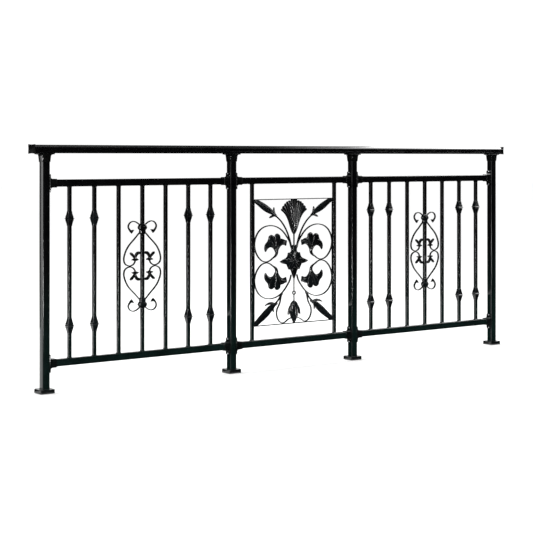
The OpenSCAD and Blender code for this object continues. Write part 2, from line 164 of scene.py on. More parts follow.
# %% Rounded rectangles, square tubes and lofts
def rounded(wide, tall, corner, steps=3):
    """Corner centres pushed out by an arc: each point is the corner centre plus the corner radius
    times the cosine and sine of its angle. The sizes may be arrays, giving one outline each."""
    wide, tall, corner = (np.asarray(v, float)[..., None] for v in (wide, tall, corner))
    sign = np.repeat([[1, 1], [-1, 1], [-1, -1], [1, -1]], steps + 1, 0)
    angle = np.radians(np.concatenate([np.linspace(90 * k, 90 * k + 90, steps + 1) for k in range(4)]))
    across = sign[:, 0] * (wide / 2 - corner) + corner * np.cos(angle)
    up = sign[:, 1] * (tall / 2 - corner) + corner * np.sin(angle)
    return np.stack([across, up], -1)


def loft(stations, axis="z", ends="fan", steps=3):
    """Rounded rectangles strung along an axis. A station is (place, size, size, corner); the sizes
    are along x and y for a loft up z, and along y and z for a loft along x."""
    place, wide, tall, corner = np.array(stations, float).T
    flat = rounded(wide, tall, corner, steps)
    along = np.broadcast_to(place[:, None], flat.shape[:2])
    parts = (flat[..., 0], flat[..., 1], along) if axis == "z" else (along, flat[..., 0], flat[..., 1])
    return skin(np.stack(parts, -1), ends)


def square_tube(low, high, wall, corner, axis="z"):
    """A tube from corner to corner: the outer outline goes along it and the inner one comes back."""
    size, middle = high - low, (low + high) / 2
    run = "xyz".index(axis)
    a, b = [k for k in range(3) if k != run]
    outer, inner = (size[a], size[b], corner), (size[a] - 2 * wall, size[b] - 2 * wall, corner / 2)
    start, stop = -size[run] / 2, size[run] / 2
    tube = loft([(start, *outer), (stop, *outer), (stop, *inner), (start, *inner)], axis, "ring", 4)
    return moved(tube, middle)


# %% [markdown]
# ## The coat
# The railing is black polyester powder coat over steel: semi-gloss, with a faint orange peel from
# the way the powder melts. Castings show the grain of the sand under the same coat. The eye reads
# it as black with soft edge lights, dust on the faces that look up, and a painted reflection: a
# slightly greener tone low down. A material could be one flat black, but then no part would look made.


# %% Colour, and one helper for shader nodes
def paint(hexcode):
    """An sRGB colour such as "#101214" as linear red, green, blue and alpha."""
    value = np.array([int(hexcode[k:k + 2], 16) for k in (1, 3, 5)]) / 255
    linear = np.where(value <= 0.04045, value / 12.92, ((value + 0.055) / 1.055) ** 2.4)
    return (*linear.tolist(), 1.0)


def add(tree, kind, inputs=None, **settings):
    """Adds a shader node. inputs maps a socket name or number to a value, or to another node's
    output, which is linked. MapRange's 1 to 4 are from low, from high, to low and to high; a colour
    Mix has its share at 0 and its colours at 6 and 7."""
    made = tree.nodes.new("ShaderNode" + kind)
    for key, value in settings.items():
        setattr(made, key, value)
    for key, value in (inputs or {}).items():
        if isinstance(value, bpy.types.NodeSocket):
            tree.links.new(value, made.inputs[key])
        else:
            made.inputs[key].default_value = value
    return made


# %% Powder coat on steel tube and on castings
PATCH_MM, SPECK_MM = 110, 14
# Painted reflection: below this height a greener tint stands in for a reflection.
PAINTED_REFLECTION_HEIGHT = 0.55


def powder_coat(name, base, bloom, painted_low_reflection, dust, gloss, grain_mm, grain_depth_mm, dust_share, shine=0.45):
    """Black powder coat. Roughness and a faint bloom wander in patches a hand wide, dust gathers
    where the face looks up, a painted reflection tints it greener near the ground in patches, and fine grain
    is bump."""
    coat = bpy.data.materials.new(name)
    coat.use_nodes = True
    tree = coat.node_tree
    shader = tree.nodes["Principled BSDF"]
    place = add(tree, "TexCoord").outputs["Object"]
    patches = add(tree, "TexNoise", {"Vector": place, "Scale": 1000 / PATCH_MM, "Detail": 3.0,
                                     "Roughness": 0.6})
    grain = add(tree, "TexNoise", {"Vector": place, "Scale": 1000 / grain_mm, "Detail": 4.0,
                                   "Roughness": 0.55})
    specks = add(tree, "TexNoise", {"Vector": place, "Scale": 1000 / SPECK_MM, "Detail": 5.0,
                                    "Roughness": 0.7})
    height = add(tree, "SeparateXYZ", {0: place}).outputs["Z"]
    # Painted reflection: a greener tone is mixed into the colour near the ground, in patches.
    lowness = add(tree, "MapRange", {0: height, 1: 0.0, 2: PAINTED_REFLECTION_HEIGHT, 3: 1.0, 4: 0.0}).outputs[0]
    painted_reflection_share = add(tree, "Math", {0: lowness, 1: patches.outputs["Fac"]}, operation="MULTIPLY").outputs[0]
    hazy = add(tree, "MapRange", {0: patches.outputs["Fac"], 1: 0.42, 2: 0.62, 3: 0.0, 4: 1.0}).outputs[0]
    clean = add(tree, "Mix", {0: hazy, 6: paint(base), 7: paint(bloom)}, data_type="RGBA").outputs[2]
    tone = add(tree, "Mix", {0: painted_reflection_share, 6: clean, 7: paint(painted_low_reflection)}, data_type="RGBA").outputs[2]
    facing = add(tree, "SeparateXYZ", {0: add(tree, "NewGeometry").outputs["Normal"]}).outputs["Z"]
    upward = add(tree, "MapRange", {0: facing, 1: 0.55, 2: 1.0, 3: 0.0, 4: dust_share}).outputs[0]
    settled = add(tree, "Math", {0: upward, 1: specks.outputs["Fac"]}, operation="MULTIPLY").outputs[0]
    colour = add(tree, "Mix", {0: settled, 6: tone, 7: paint(dust)}, data_type="RGBA").outputs[2]
    rough = add(tree, "MapRange", {0: patches.outputs["Fac"], 1: 0.3, 2: 0.7,
                                   3: gloss[0], 4: gloss[1]}).outputs[0]
    bump = add(tree, "Bump", {"Height": grain.outputs["Fac"], "Strength": 0.15,
                              "Distance": grain_depth_mm / 1000})
    tree.links.new(colour, shader.inputs["Base Color"])
    tree.links.new(rough, shader.inputs["Roughness"])
    tree.links.new(bump.outputs["Normal"], shader.inputs["Normal"])
    shader.inputs["IOR"].default_value = 1.5
    shader.inputs["Specular IOR Level"].default_value = shine
    print("coat:", name)
    return coat


# The fourth colour of each coat is the painted reflection low down; the fifth is dust.
# Orange peel is about 3 mm from crest to crest; it is drawn at 7 mm so that it shows at this distance.
tube_coat = powder_coat("powder_coat_on_steel_tube", "#030304", "#050506", "#082420", "#4c4f4d",
                        (0.12, 0.19), 7, 0.25, 0.35)
# Sand grain under the coat is about 1 mm; drawn at 4 mm.
cast_coat = powder_coat("powder_coat_on_sand_casting", "#030304", "#070d10", "#0a1315", "#50585c",
                        (0.15, 0.25), 4, 0.4, 0.30)
fitting_coat = powder_coat("powder_coat_on_cast_fittings", "#030303", "#060707", "#071010", "#565b5b",
                           (0.14, 0.22), 5, 0.35, 0.40)
# The end plates are sawn plate: their coat is thinner and dries matt.
plate_coat = powder_coat("powder_coat_on_end_plates", "#030303", "#050505", "#050505", "#161717",
                         (0.50, 0.62), 6, 0.20, 0.20, 0.06)


# %% Zinc-plated screw heads
def zinc_plate(name):
    """Bright zinc plate on steel: a metal, slightly milky, with a roughness that wanders."""
    plate = bpy.data.materials.new(name)
    plate.use_nodes = True
    tree = plate.node_tree
    shader = tree.nodes["Principled BSDF"]
    place = add(tree, "TexCoord").outputs["Object"]
    bloom = add(tree, "TexNoise", {"Vector": place, "Scale": 1000 / 2.5, "Detail": 3.0})
    rough = add(tree, "MapRange", {0: bloom.outputs["Fac"], 1: 0.3, 2: 0.7, 3: 0.22, 4: 0.42}).outputs[0]
    tint = add(tree, "Mix", {0: bloom.outputs["Fac"], 6: paint("#c9ccd0"), 7: paint("#9da0a4")},
               data_type="RGBA").outputs[2]
    tree.links.new(rough, shader.inputs["Roughness"])
    tree.links.new(tint, shader.inputs["Base Color"])
    shader.inputs["Metallic"].default_value = 1.0
    return plate


screw_plate = zinc_plate("zinc_plate_on_steel")

# %% [markdown]
# ## Posts, rails and bars
# These are stock square tube, cut to length. The solid model's own shapes would do, but drawing
# them again gives each long edge a smooth rounded corner for the light to run along.

# %% Posts and rails
TUBE_WALL, TUBE_CORNER = 2, 2.5
for name in POSTS:
    tube = square_tube(*reach(name + "_post"), TUBE_WALL, TUBE_CORNER)
    piece(name + "_post_tube", [tube], tube_coat, "bar_coat", name + "_post")
for name in BAYS:
    for level in ("upper", "lower"):
        node = f"{name}_{level}_rail"
        tube = square_tube(*reach(node), TUBE_WALL, TUBE_CORNER, "x")
        piece(node + "_tube", [tube], tube_coat, "bar_coat", node)


# %% Bars
BAR, BAR_WALL, BAR_CORNER = 16, 1.5, 1.8


def bars(node, steps):
    """Square tubes at the given numbers of pitches from the middle of the node."""
    low, high = reach(node)
    half, middle = BAR / 2, (low[0] + high[0]) / 2
    pitch = (high[0] - low[0] - 2 * half) / max(2 * max(steps), 1)
    places = [middle + s * pitch for s in steps]
    corners = [((x - half, low[1], low[2]), (x + half, high[1], high[2])) for x in places]
    return [square_tube(np.array(a), np.array(b), BAR_WALL, BAR_CORNER) for a, b in corners], places


KNUCKLED_STEPS = (-3, -2, 2, 3)
bar_places = []
for node, steps in [("left_knuckled_bars", KNUCKLED_STEPS), ("left_plain_bars", (-1, 1)),
                    ("left_scroll_bar", (0,)), ("right_knuckled_bars", KNUCKLED_STEPS),
                    ("right_plain_bars", (-1, 1)), ("right_scroll_bar", (0,)), ("panel_uprights", (-1, 1))]:
    tubes, places = bars(node, steps)
    bar_places += places
    piece(node + "_tube", tubes, tube_coat, "bar_coat", node)
print(len(bar_places), "bars at", np.round(sorted(bar_places)))

# %% [markdown]
# ## Welds
# Each bar is welded to both rails. The weld is a small hollow collar of metal, which softens the
# corner of every opening. It is a curved wedge carried round the bar.


# %% Weld beads
WELD_SIZE, WELD_SUNK = 5.0, 0.6


def weld(x, z, way):
    """The wedge's outline is a quarter circle hollowed between bar and rail, closed through the
    metal behind it; the outline is carried round the bar as rounded squares that grow with it."""
    angle = np.linspace(0, math.pi / 2, 6)
    out = np.concatenate([WELD_SIZE * (1 - np.cos(angle)), [WELD_SIZE, -WELD_SUNK, -WELD_SUNK]])
    down = np.concatenate([WELD_SIZE * (1 - np.sin(angle)), [-WELD_SUNK, -WELD_SUNK, WELD_SIZE]])
    wide = BAR + 2 * out
    stations = np.stack([z - way * down, wide, wide, BAR_CORNER + np.maximum(out, -0.5)], -1)
    return moved(loft(stations, "z", "ring", 4), (x, 0, 0))


beads = [weld(x, z, way) for x in bar_places for z, way in ((bar_high, 1), (bar_low, -1))]
piece("bar_weld_beads", beads, tube_coat, "bar_coat")

# %% [markdown]
# ## Knuckles
# A knuckle is a forged swelling on a bar: it grows from both ends to a sharp ridge round its
# middle. The real one is a hollow casting slid on the bar, so its skin goes up the outside and
# comes back down the square hole.


# %% Knuckles
KNUCKLE_RISE = 33.5
KNUCKLE_WIDTH = 31  # in the solid model, whose ridge is 1 mm lower than this one


def knuckle(x, z):
    """Half width against height: a small lip at each end, a hollow flank, a notch, and the ridge."""
    height = np.array([-KNUCKLE_RISE, -32.5, -30.5, -24, -17, -10, -6.5, -5, -3.6, -1.8, -0.5, 0])
    half = np.array([8.5, 9.4, 9.4, 10.2, 11.9, 13.6, 14.2, 13.7, 13.8, 15.6, 16.3, 16.5])
    height, half = np.concatenate([height, -height[-2::-1]]), np.concatenate([half, half[-2::-1]])
    corner = np.where(half > 14.1, 1.2, 2.0)
    outer = np.stack([height, 2 * half, 2 * half, corner], -1)
    inner = [(KNUCKLE_RISE, 16.1, 16.1, 1.5), (-KNUCKLE_RISE, 16.1, 16.1, 1.5)]
    return moved(loft(np.vstack([outer, inner]), "z", "ring", 4), (x, 0, z))


for name in ("left", "right"):
    low, high = reach(name + "_knuckles")
    middle, pitch = (low[0] + high[0]) / 2, (high[0] - low[0] - KNUCKLE_WIDTH) / (2 * max(KNUCKLED_STEPS))
    heights = (low[2] + KNUCKLE_RISE, high[2] - KNUCKLE_RISE)
    knobs = [knuckle(middle + s * pitch, z) for s in KNUCKLED_STEPS for z in heights]
    piece(name + "_forged_knuckles", knobs, cast_coat, "cast_iron_coat", name + "_knuckles", sharp=28)

# %% [markdown]
# ## Sockets and head brackets
# A rail end sits in a cast socket: a long flange screwed to the post, a hollow curve, and a sleeve.
# The head brackets under the handrail are the same idea turned upright. Both are lofts: rounded
# rectangles of changing height strung along the sleeve.


# %% Sleeves with a flared flange
FLANGE_LONG, FLANGE_THICK, FLARE_RADIUS = 80, 5, 10.0


def flared_sleeve(depth, long, thick, tall, sleeve, hole, axis, taper=0.0, corner=2.0):
    """Along the sleeve: the flange with eased edges, then a quarter circle from flange to sleeve,
    then the sleeve, drawn in by the taper as it goes, and back inside to the flange."""
    angle = np.linspace(0, math.pi / 2, 8)
    flare = [(thick + FLARE_RADIUS * (1 - math.cos(a)), tall + 2 * FLARE_RADIUS * (1 - math.sin(a)))
             for a in angle]
    edge = [(0, long - 1.6), (0.8, long), (thick - 1.2, long), (thick - 0.3, long - 0.8), (thick, long - 2.4)]
    body = edge + flare + [(sleeve - 1, tall), (sleeve - 0.3, tall - 0.4), (sleeve, tall - 1.2)]
    wide = [depth - (1.2 if s in (0, sleeve) else 0.4 if s == sleeve - 0.3 else 0) for s, _ in body]
    drawn_in = np.interp([s for s, _ in body], [thick + FLARE_RADIUS, sleeve], [0, taper])
    outer = [(s, w - cut, h - cut, corner) for (s, h), w, cut in zip(body, wide, drawn_in)]
    inner = [(sleeve, hole[0] + 0.8, hole[1] + 0.8, 1.6), (sleeve - 0.8, *hole, 1.2), (thick, *hole, 1.2)]
    stations = outer + inner
    if axis == "z":
        stations = [(s, h, w, c) for s, w, h, c in outer] + [(s, h, w, c) for s, w, h, c in inner]
    return loft(stations, axis, "fan", 4)


for k, name in enumerate(BAYS):
    one = flared_sleeve(34.8, FLANGE_LONG, FLANGE_THICK, 38.8, 35, (28.4, 32.4), "x")
    ends = [(post_x[k] + post_half, 1), (post_x[k + 1] - post_half, -1)]
    pair = [moved(one, (x, 0, z), (way, 1, 1)) for x, way in ends for z in rail_z]
    piece(name + "_cast_sockets", pair, fitting_coat, "fitting_coat", name + "_bay_sockets", sharp=50)
for k, name in enumerate(POSTS):
    top = reach(name + "_head_bracket")[1][2]
    one = flared_sleeve(42.4, FLANGE_LONG, FLANGE_THICK, 42.4, 39, (35.4, 35.4), "z", taper=4.0)
    piece(name + "_cast_bracket", [moved(one, (post_x[k], 0, top), (1, 1, -1))], fitting_coat, "fitting_coat",
          name + "_head_bracket", sharp=50)

# %% [markdown]
# ## Handrail
# The handrail is one long rolled section: a narrow base with a soft bead along each side, a step,
# and a wide crown for the palm. The outline is drawn once, its corners are softened, and it is
# carried from cap to cap. A cap is a plate with four proud corners and hollowed sides, so it needs a
# web: an outline with a thickness and an eased edge. The castings further on use webs too.


# %% Softened outlines
def soften(outline, radius, steps=4):
    """Each corner is cut back along both its edges and a parabola joins the cuts. No cut takes
    more than 45% of an edge."""
    corner = np.asarray(outline, float)
    radius = np.broadcast_to(radius, len(corner))[:, None]
    back, ahead = np.roll(corner, 1, 0) - corner, np.roll(corner, -1, 0) - corner
    far_back, far_ahead = (np.linalg.norm(v, axis=1, keepdims=True) for v in (back, ahead))
    a = corner + back / far_back * np.minimum(radius, 0.45 * far_back)
    b = corner + ahead / far_ahead * np.minimum(radius, 0.45 * far_ahead)
    t = np.linspace(0, 1, steps + 1)[None, :, None]
    curve = (1 - t) ** 2 * a[:, None] + 2 * t * (1 - t) * corner[:, None] + t ** 2 * b[:, None]
    return curve.reshape(-1, 2)


def web(outline, half, cuts=3.0, ease=1.2):
    """The softened outline at four depths: drawn in by the ease at both faces, full at the edge.
    The drawn-in outline moves each point along the mean of its two edge normals."""
    flat = soften(outline, cuts, 3)
    ahead, back = np.roll(flat, -1, 0) - flat, flat - np.roll(flat, 1, 0)
    ahead, back = (v / np.linalg.norm(v, axis=1, keepdims=True) for v in (ahead, back))
    normal = ahead + back
    normal = np.stack([-normal[:, 1], normal[:, 0]], -1)
    normal /= np.linalg.norm(normal, axis=1, keepdims=True) + 1e-9
    area = np.sum(flat[:, 0] * np.roll(flat[:, 1], -1) - np.roll(flat[:, 0], -1) * flat[:, 1])
    inside = flat + normal * ease * np.sign(area)
    rows = [(inside, -half), (flat, -half + ease), (flat, half - ease), (inside, half)]
    return skin(np.stack([np.column_stack([f[:, 0], np.full(len(f), y), f[:, 1]]) for f, y in rows]), "flat")


low, high = reach("handrail")
crown_half, shoulder, crown_rise = 29, 27, 11
crown = [(crown_half * (1 - t), shoulder + crown_rise * (1 - (1 - t) ** 2)) for t in np.linspace(0, 1, 9)[1:]]
right_side = [(0, 0), (23.5, 0), (25.5, 2), (25.5, 5), (25.9, 6.6), (25.9, 8.4), (25.5, 10), (25.5, 15.5),
              (26.5, 18), (crown_half, 18), (crown_half, shoulder)] + crown
cuts = [0, 1.2, 1.2, 0.6, 0.7, 0.7, 0.6, 1.5, 1.2, 1.6, 2.4] + [1.5] * len(crown)
right_side, cuts = np.array(right_side), np.array(cuts)
whole_side = np.vstack([right_side, right_side[-2:0:-1] * (-1, 1)])
outline = soften(whole_side, np.concatenate([cuts, cuts[-2:0:-1]]), 3)
print("handrail outline:", len(outline), "points", outline.min(0), outline.max(0))


def carried_along_x(flat, start, stop, floor, middle, share):
    """The outline from start to stop, then the same outline shrunk about its middle going back."""
    inner = (flat - (0, middle)) * share + (0, middle)
    rows = [(flat, start), (flat, stop), (inner, stop), (inner, start)]
    grid = np.stack([np.column_stack([np.full(len(f), x), f[:, 0], f[:, 1] + floor]) for f, x in rows])
    return skin(grid, "ring")


rail_skin = carried_along_x(outline, low[0], high[0], low[2], middle=17, share=0.9)
piece("crowned_handrail", [rail_skin], tube_coat, "bar_coat", "handrail", sharp=32)

# %% End plates
SIDE_DIP, TOP_DIP = 2.6, 1.8
for side in ("left", "right"):
    low, high = reach(side + "_handrail_cap")
    (t, w, h), middle = (high - low) / 2, (low + high) / 2
    edge = [(w, h), (w - SIDE_DIP, 0), (w, -h), (0, -h + TOP_DIP),
            (-w, -h), (-w + SIDE_DIP, 0), (-w, h), (0, h - TOP_DIP)]
    points, faces = web(edge, t, [2.0, 30] * 4, 1.0)
    plate = moved(outward(points[:, [1, 0, 2]], faces), middle)
    piece(side + "_end_plate", [plate], plate_coat, "fitting_coat", side + "_handrail_cap", sharp=50)

# %% [markdown]
# ## Feet
# Each foot is a cast plate with a pocket for the post and four bolt holes. Its shape in the solid
# model is right, so the piece is a copy of it with the doubled points merged, flat faces joined
# again, and every hard edge eased with a bevel so that it shines as cast iron does.

# %% Feet
for name in POSTS:
    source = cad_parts[name + "_foot"]
    mesh = source.data.copy()
    mesh.name = name + "_cast_foot"
    work = bmesh.new()
    work.from_mesh(mesh)
    bmesh.ops.remove_doubles(work, verts=work.verts, dist=1e-5)
    bmesh.ops.dissolve_limit(work, angle_limit=math.radians(1), verts=work.verts, edges=work.edges)
    work.to_mesh(mesh)
    work.free()
    mesh.materials.clear()
    mesh.materials.append(fitting_coat)
    foot = bpy.data.objects.new(name + "_cast_foot", mesh)
    bpy.context.scene.collection.objects.link(foot)
    ease = foot.modifiers.new("eased_edges", "BEVEL")
    ease.width, ease.segments, ease.limit_method, ease.angle_limit = 0.0018, 3, "ANGLE", math.radians(50)
    mesh.polygons.foreach_set("use_smooth", np.ones(len(mesh.polygons), bool))
    mesh.set_sharp_from_angle(angle=math.radians(60))
    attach(foot, "root")
    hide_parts(name + "_foot")
    print(foot.name, len(mesh.polygons), "faces before the bevel")


# %% [markdown]
# ## Screws
# The flanges are held by pan-head screws with a cross recess. A head is a dome over rings and
# spokes, with the cross pressed in where a point lies near either line of the cross.


# %% Screws
SCREW_OUT = FLANGE_LONG / 2 - 4.5


def screw_head(radius=3.5, height=3.0):
    """Height over the plane: a flat rim wall, then a dome that falls with the square of the
    distance out, less the cross recess. Rows are rings, columns are spokes."""
    ring = np.concatenate([[0.0], np.linspace(0.08, 0.92, 10), [1.0, 1.0]])
    spoke = np.arange(40) * 2 * math.pi / 40
    x, y = (ring[:, None] * f(spoke) * radius for f in (np.cos, np.sin))
    dome = height * (1 - 0.42 * ring ** 2)[:, None] + 0 * x
    arm = np.minimum(np.abs(x), np.abs(y))
    dome -= 0.9 * np.clip(1.5 - arm / 0.35, 0, 1) * (ring[:, None] * radius < 2.2)
    dome[-1] = 0
    top = np.stack([x, y, dome], -1)
    return skin(np.vstack([top, top[-1:] * (0, 0, 1)]), "pole")


head = screw_head()
points, faces = head
lying = (points[:, [2, 0, 1]], faces)
heads = []
for k in range(len(BAYS)):
    for x, way in ((post_x[k] + post_half + FLANGE_THICK, 1), (post_x[k + 1] - post_half - FLANGE_THICK, -1)):
        heads += [moved(lying, (x, 0, z + s * SCREW_OUT), (way, 1, 1)) for z in rail_z for s in (-1, 1)]
under = reach("left_end_head_bracket")[1][2] - FLANGE_THICK
heads += [moved(head, (x + s * SCREW_OUT, 0, under), (1, 1, -1)) for x in post_x for s in (-1, 1)]
piece("cross_head_screws", heads, screw_plate, "screw_steel", "fixing_screws")


# %% [markdown]
# ## Forged lines
# Scrolls, stems, leaves and buds all follow a smooth line and swell or thin along it. One function
# carries any section along such a line. The line is given by a few points, each with the width
# there, and runs through them all.


# %% A section carried along a smooth line
def smooth(points, steps=12):
    """Catmull-Rom: between two points the line is a cubic whose slope at each point is half the
    way from the point before to the point after."""
    P = np.asarray(points, float)
    P = np.vstack([2 * P[0] - P[1], P, 2 * P[-1] - P[-2]])
    count = len(points) - 1
    t = np.linspace(0, count, count * steps + 1)
    i = np.minimum(t.astype(int), count - 1)
    u = (t - i)[:, None]
    a, b, c, d = P[i], P[i + 1], P[i + 2], P[i + 3]
    return 0.5 * (2 * b + (c - a) * u + (2 * a - 5 * b + 4 * c - d) * u ** 2
                  + (3 * b - a - 3 * c + d) * u ** 3)


def oval(power=2.0, ribs=0, rib=0.0, groove=0.0, groove_wide=0.17, vein=0.0, count=32):
    """A section one unit across and deep: cosine and sine raised to 2/power, which is round at 2
    and nearly square at 6. Ribs ripple it, a bell-shaped groove dents it front and back, and a
    narrow vein stands up again in the middle of the groove."""
    angle = (np.arange(count) + 0.5) * 2 * math.pi / count
    c, s = np.cos(angle), np.sin(angle)
    flat = np.stack([np.sign(c) * np.abs(c) ** (2 / power), np.sign(s) * np.abs(s) ** (2 / power)], -1)
    flat *= (1 - rib + rib * np.abs(np.cos(ribs * angle / 2)) ** 0.8)[:, None] if ribs else 1
    vein_wide = 0.11
    dip = groove * np.exp(-(flat[:, 0] / groove_wide) ** 2)
    flat[:, 1] *= 1 - dip + vein * np.exp(-(flat[:, 0] / vein_wide) ** 2)
    return flat


def drawn(points, depth, section, tips=(2, 2), spacing=2.5, swell=0.0):
    """The section carried along the line in the plane of the railing. Rows bunch towards both ends,
    where the size falls away like a quarter circle over the tip lengths."""
    line = smooth(points)
    steps = np.linalg.norm(np.diff(line[:, :2], axis=0), axis=1)
    run = np.concatenate([[0], np.cumsum(steps)])
    rows = int(max(10, run[-1] / spacing))
    bunch = np.linspace(0, 1, rows)
    place = run[-1] * (0.75 * (1 - np.cos(math.pi * bunch)) / 2 + 0.25 * bunch)
    x, z, width = (np.interp(place, run, line[:, k]) for k in range(3))
    slope = np.stack([np.gradient(x), np.gradient(z)], -1)
    slope /= np.linalg.norm(slope, axis=1, keepdims=True)
    ends = [np.clip(d / max(t, 1e-6), 0, 1) for d, t in ((place, tips[0]), (run[-1] - place, tips[1]))]
    round_off = np.prod([np.sqrt(1 - (1 - e) ** 2) for e in ends], axis=0)
    half = np.maximum(width / 2 * round_off, 0.15)[:, None]
    deep = np.maximum(depth / 2 * (round_off + swell * np.sin(math.pi * bunch)), 0.15)[:, None]
    across = half * section[:, 0]
    grid = np.stack([x[:, None] - slope[:, 1:] * across, deep * section[:, 1],
                     z[:, None] + slope[:, :1] * across], -1)
    return skin(grid, "fan")


def placed(skins, centre):
    """The skins, drawn about their own middle, moved to where that middle belongs."""
    return [moved(s, centre) for s in skins]


def both_ways(skins):
    """The skins and their mirror images left to right."""
    return skins + [moved(s, turn=(-1, 1, 1)) for s in skins]


def four_ways(skins):
    """The skins mirrored left to right, and all of that mirrored top to bottom."""
    pair = both_ways(skins)
    return pair + [moved(s, turn=(1, 1, -1)) for s in pair]


FLAT_BAR = oval(5.0)
LEAF = oval(2.4, groove=0.55)
HEART_LEAF = oval(3.4, groove=0.45, groove_wide=0.25)
ROUND = oval(2.0)
CUPPED = oval(2.4, groove=0.60, groove_wide=0.50, vein=0.45, count=48)
BUD = oval(3.0, ribs=14, rib=0.16, count=112)

# %% [markdown]
# ## Heart scrolls
# In the middle of each side bay a bar carries four forged scrolls that meet in two hearts. Each
# scroll is a flat bar, 5 mm thick and 10 mm deep, that ends in a leaf pair with a pointed spindle
# across it. Above the hearts smaller scrolls curl out of the collars.

# %% Heart scroll
T = 5.0  # thickness of a scroll's flat bar, given again at every point of its line
BAR_DEPTH = 10
heart_bar = [(10, 159, T), (25, 145, T), (41, 128, T), (60, 110, T), (77, 91, T), (89, 71, T), (97, 50, T),
             (99.5, 33, T), (95, 16, T), (83, 6, T), (66, 2.3, T), (50, 8, T), (41, 19, T), (38, 34, T)]
heart_curl = [(10, 188, T), (21, 196, T), (34, 204, T), (50, 207.5, T), (66, 202, T), (75, 189, T),
              (74, 177, T + 1), (66, 166, 8), (60, 159, 9), (57, 153, 3)]
curl_barb = [(69, 166), (57, 168.5), (45, 168.5), (52, 159), (58, 151), (64, 159)]
leaf_in = [(38, 30, 7), (37, 44, 12), (30, 57, 15), (20, 61, 14), (11, 60, 9), (6, 60, 5)]
leaf_out = [(38, 30, 7), (45, 43, 11), (54, 53, 13), (61, 59, 12), (67, 64, 4)]
spindle = [(20, 29, 3), (29, 30.5, 10), (38, 31, 17), (48, 30.5, 10), (58, 29, 3)]
quarter = [drawn(heart_bar, BAR_DEPTH, FLAT_BAR), drawn(heart_curl, BAR_DEPTH, FLAT_BAR, (2, 6)),
           web(curl_barb, 4.6, [1.5, 1.5, 0.6, 1.5, 1.0, 1.5], 1.4),
           drawn(leaf_in, BAR_DEPTH, HEART_LEAF, (2, 3)), drawn(leaf_out, BAR_DEPTH, HEART_LEAF, (2, 5)),
           drawn(spindle, BAR_DEPTH, oval(3.0), (3, 3), 1.5)]
hearts = four_ways(quarter)
for name in ("left", "right"):
    low, high = reach(name + "_heart_scroll")
    piece(name + "_forged_hearts", placed(hearts, (low + high) / 2), tube_coat, "bar_coat",
          name + "_heart_scroll")


# %% Collars on the scroll bar
def collar(way):
    """A turned casting round the bar: half width and half depth against height, on a nearly square
    section, up the outside and back down the square hole; then a round boss on each face."""
    height = np.array([196, 195.5, 193.5, 189, 182, 178, 173, 168,
                       165.5, 163, 160, 157, 153, 150, 147.6, 147])
    half = np.array([9, 10.5, 15, 19, 22.5, 23.5, 22, 17.5, 15.2, 15.4, 16, 16, 15, 14, 11.5, 10])
    deep = np.array([8.6, 9.2, 10, 10.8, 11.6, 12, 11.6, 10.6, 9.8, 9.8, 10.6, 10.8, 10.2, 9.6, 9, 8.6])
    unit = oval(3.2, count=48)
    outer = np.stack([half[:, None] * unit[:, 0], deep[:, None] * unit[:, 1],
                      height[:, None] + 0 * unit[:, 0]], -1)
    hole = 8.05 * unit / np.abs(unit).max(1, keepdims=True)
    inner = np.stack([np.column_stack([hole, np.full(len(hole), z)]) for z in (147, 196)])
    body = skin(np.vstack([outer, inner]), "ring")
    angle, ring = np.arange(32) * 2 * math.pi / 32, np.linspace(0, 1, 9)
    dome = 12.5 - 2.6 * (1 - np.sqrt(1 - ring ** 2 * 0.99))
    disc = np.stack([8.5 * ring[:, None] * np.cos(angle), -dome[:, None] + 0 * angle,
                     178 + 8.5 * ring[:, None] * np.sin(angle)], -1)
    boss = skin(np.vstack([disc, disc[::-1] * (1, 0, 1) - (0, 8.2, 0)]), "pole")
    return [moved(s, turn=(1, 1, way)) for s in (body, boss, moved(boss, turn=(1, -1, 1)))]


for name in ("left", "right"):
    low, high = reach(name + "_scroll_collars")
    piece(name + "_cast_collars", placed(collar(1) + collar(-1), (low + high) / 2), cast_coat,
          "cast_iron_coat", name + "_scroll_collars")

# %% [markdown]
# ## Flower panel: frame and scrolls
# The frame is flat bar, mitred at the corners. Inside it four big scrolls, the stems of the corner
# buds, a rod with a small ring, and two loops are all flat or round bar.


# %% Frame
def mitred_frame(half_wide, half_tall, thick, depth):
    """The bar's own outline, as an offset outwards and a depth; each point of it traces a rectangle
    that is larger by that offset, so the corners are mitred exactly."""
    bar = rounded(thick, depth, 0.9, 3)
    sign = np.array([[1, 1], [-1, 1], [-1, -1], [1, -1]])
    wide, tall = half_wide - thick / 2 + bar[:, 0], half_tall - thick / 2 + bar[:, 0]
    grid = np.stack([wide[:, None] * sign[:, 0], bar[:, 1][:, None] + 0 * sign[:, 0],
                     tall[:, None] * sign[:, 1]], -1)
    return skin(grid, "ring")


FRAME_THICK, FRAME_DEPTH = 4, 14
low, high = reach("panel_frame")
panel_centre, panel_size = (low + high) / 2, high - low
inner_half, inner_rise = panel_size[0] / 2 - FRAME_THICK, panel_size[2] / 2 - FRAME_THICK
panel_frame = mitred_frame(panel_size[0] / 2, panel_size[2] / 2, FRAME_THICK, FRAME_DEPTH)
piece("mitred_panel_frame", placed([panel_frame], panel_centre), tube_coat, "bar_coat", "panel_frame",
      sharp=50)
print("inside of the frame:", 2 * inner_half, "by", 2 * inner_rise)

